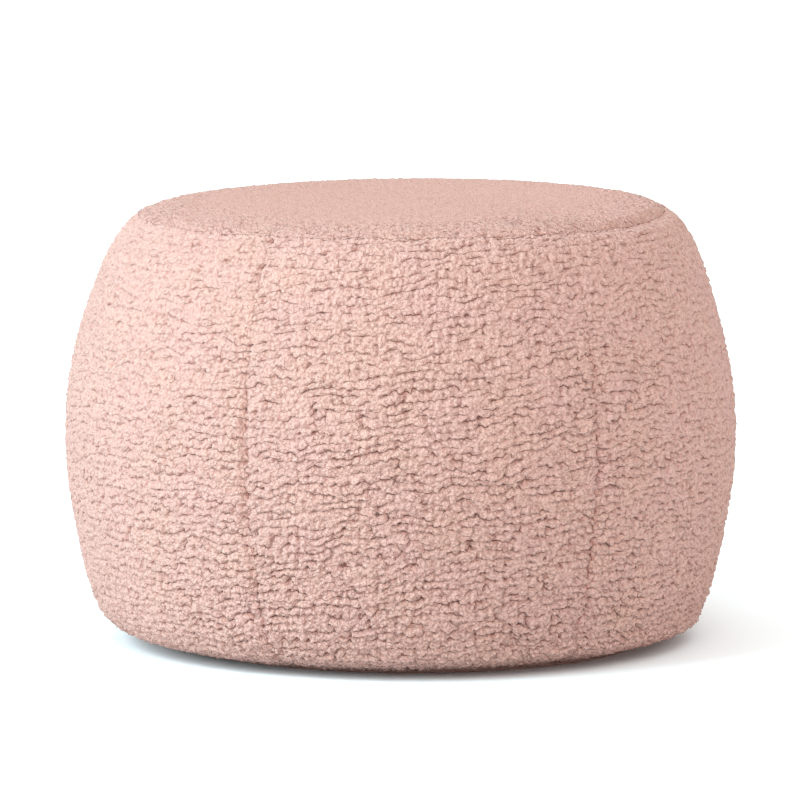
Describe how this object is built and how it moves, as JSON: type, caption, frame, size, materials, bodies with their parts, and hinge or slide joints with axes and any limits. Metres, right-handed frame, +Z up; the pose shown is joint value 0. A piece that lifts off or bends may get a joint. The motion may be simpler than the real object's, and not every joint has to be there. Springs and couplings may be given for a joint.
{
  "type": "pouf",
  "caption": "Round firm-filled floor pouf in curly pile cloth, with barrel sides sewn from tall panels and a slightly domed top.",
  "frame": {"origin": "centre of the flat underside, where the pouf rests", "axes": "+Z up along the pouf's axis, +X to the right and +Y away as seen from the front, which is the middle of the widest side panel"},
  "size_m": [0.612, 0.6146, 0.4077],
  "materials": {
    "pile_cloth": "matt curly pile in blush pink"
  },
  "bodies": {
    "root": {"top_panel": "pile_cloth", "bottom_panel": "pile_cloth", "side_panel_1": "pile_cloth", "side_panel_2": "pile_cloth", "side_panel_3": "pile_cloth", "side_panel_4": "pile_cloth", "side_panel_5": "pile_cloth", "side_panel_6": "pile_cloth"}
  },
  "joints": []
}
